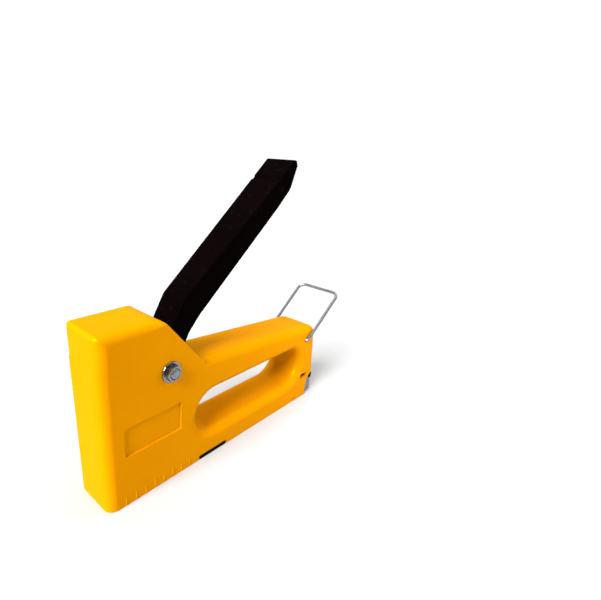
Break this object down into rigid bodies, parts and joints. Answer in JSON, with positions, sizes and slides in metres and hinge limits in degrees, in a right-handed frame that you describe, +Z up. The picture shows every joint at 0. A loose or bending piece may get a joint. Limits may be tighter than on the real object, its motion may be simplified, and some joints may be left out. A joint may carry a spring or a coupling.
{
  "type": "staple gun",
  "caption": "Hand-squeezed staple gun with a moulded plastic body, squeeze lever, spring-driven striker, slide-out staple magazine and wire bail.",
  "frame": {"origin": "the point on the sole where the staple leaves, on the centre plane", "axes": "+X forward to the nose, +Y to the gun's left side, +Z up from the sole"},
  "size_m": [0.1732, 0.0325, 0.1456],
  "materials": {
    "body_plastic": "moulded yellow plastic, fairly glossy",
    "lever_plastic": "moulded black plastic, satin gloss",
    "black_plastic": "moulded black plastic, matt",
    "bright_steel": "bright plated steel",
    "zinc_screw": "zinc plated steel",
    "zinc_sheet": "zinc plated sheet steel",
    "plain_steel": "oiled pressed steel",
    "spring_steel": "drawn spring wire",
    "bail_wire": "plated steel wire",
    "bumper_rubber": "black rubber"
  },
  "bodies": {
    "body": {"housing_left": "body_plastic", "housing_right": "body_plastic", "housing_screws": "zinc_screw", "pivot_bolt": "bright_steel", "pivot_washer": "bright_steel", "pivot_nut": "bright_steel", "magazine_channel": "plain_steel", "magazine_bridge": "black_plastic", "nose_plate": "plain_steel", "spring_seat": "plain_steel", "striker_bumper": "bumper_rubber", "lever_return_spring": "spring_steel"},
    "lever": {"handle_lever": "lever_plastic", "pivot_bush": "plain_steel", "lift_claw": "plain_steel", "claw_rivet": "bright_steel"},
    "striker": {"striker_plunger": "plain_steel", "striker_blade": "plain_steel", "blade_rivets": "bright_steel", "power_spring": "spring_steel"},
    "drawer": {"staple_rail": "zinc_sheet", "magazine_pull": "zinc_sheet", "pusher_rod": "bright_steel", "pusher_spring": "spring_steel"},
    "follower": {"pusher": "zinc_sheet"},
    "bail": {"wire_bail": "bail_wire"}
  },
  "joints": [
    {"name": "lever_pivot", "type": "hinge", "parent": "body", "child": "lever", "pos_m": [-0.0303, 0, 0.0601], "axis": [0, -1, 0], "range_deg": [0, 38.5], "stiffness_Nm_per_rad": 0.6, "springref_deg": -20.05, "deforming": ["lever_return_spring"]},
    {"name": "striker_slide", "type": "slide", "parent": "body", "child": "striker", "axis": [0, 0, 1], "range_m": [0, 0.0152], "deforming": ["power_spring"]},
    {"name": "magazine_drawer", "type": "slide", "parent": "body", "child": "drawer", "axis": [-1, 0, 0], "range_m": [0, 0.09]},
    {"name": "pusher_slide", "type": "slide", "parent": "drawer", "child": "follower", "axis": [-1, 0, 0], "range_m": [0, 0.085], "stiffness_N_per_m": 25, "springref_m": -0.05, "deforming": ["pusher_spring"]},
    {"name": "bail_hinge", "type": "hinge", "parent": "body", "child": "bail", "pos_m": [-0.1377, 0, 0.0427], "axis": [0, 1, 0], "range_deg": [-80, 57]}
  ],
  "couplings": [
    {"joint": "striker_slide", "follows": "lever_pivot", "m_per_rad": 0.02253}
  ]
}
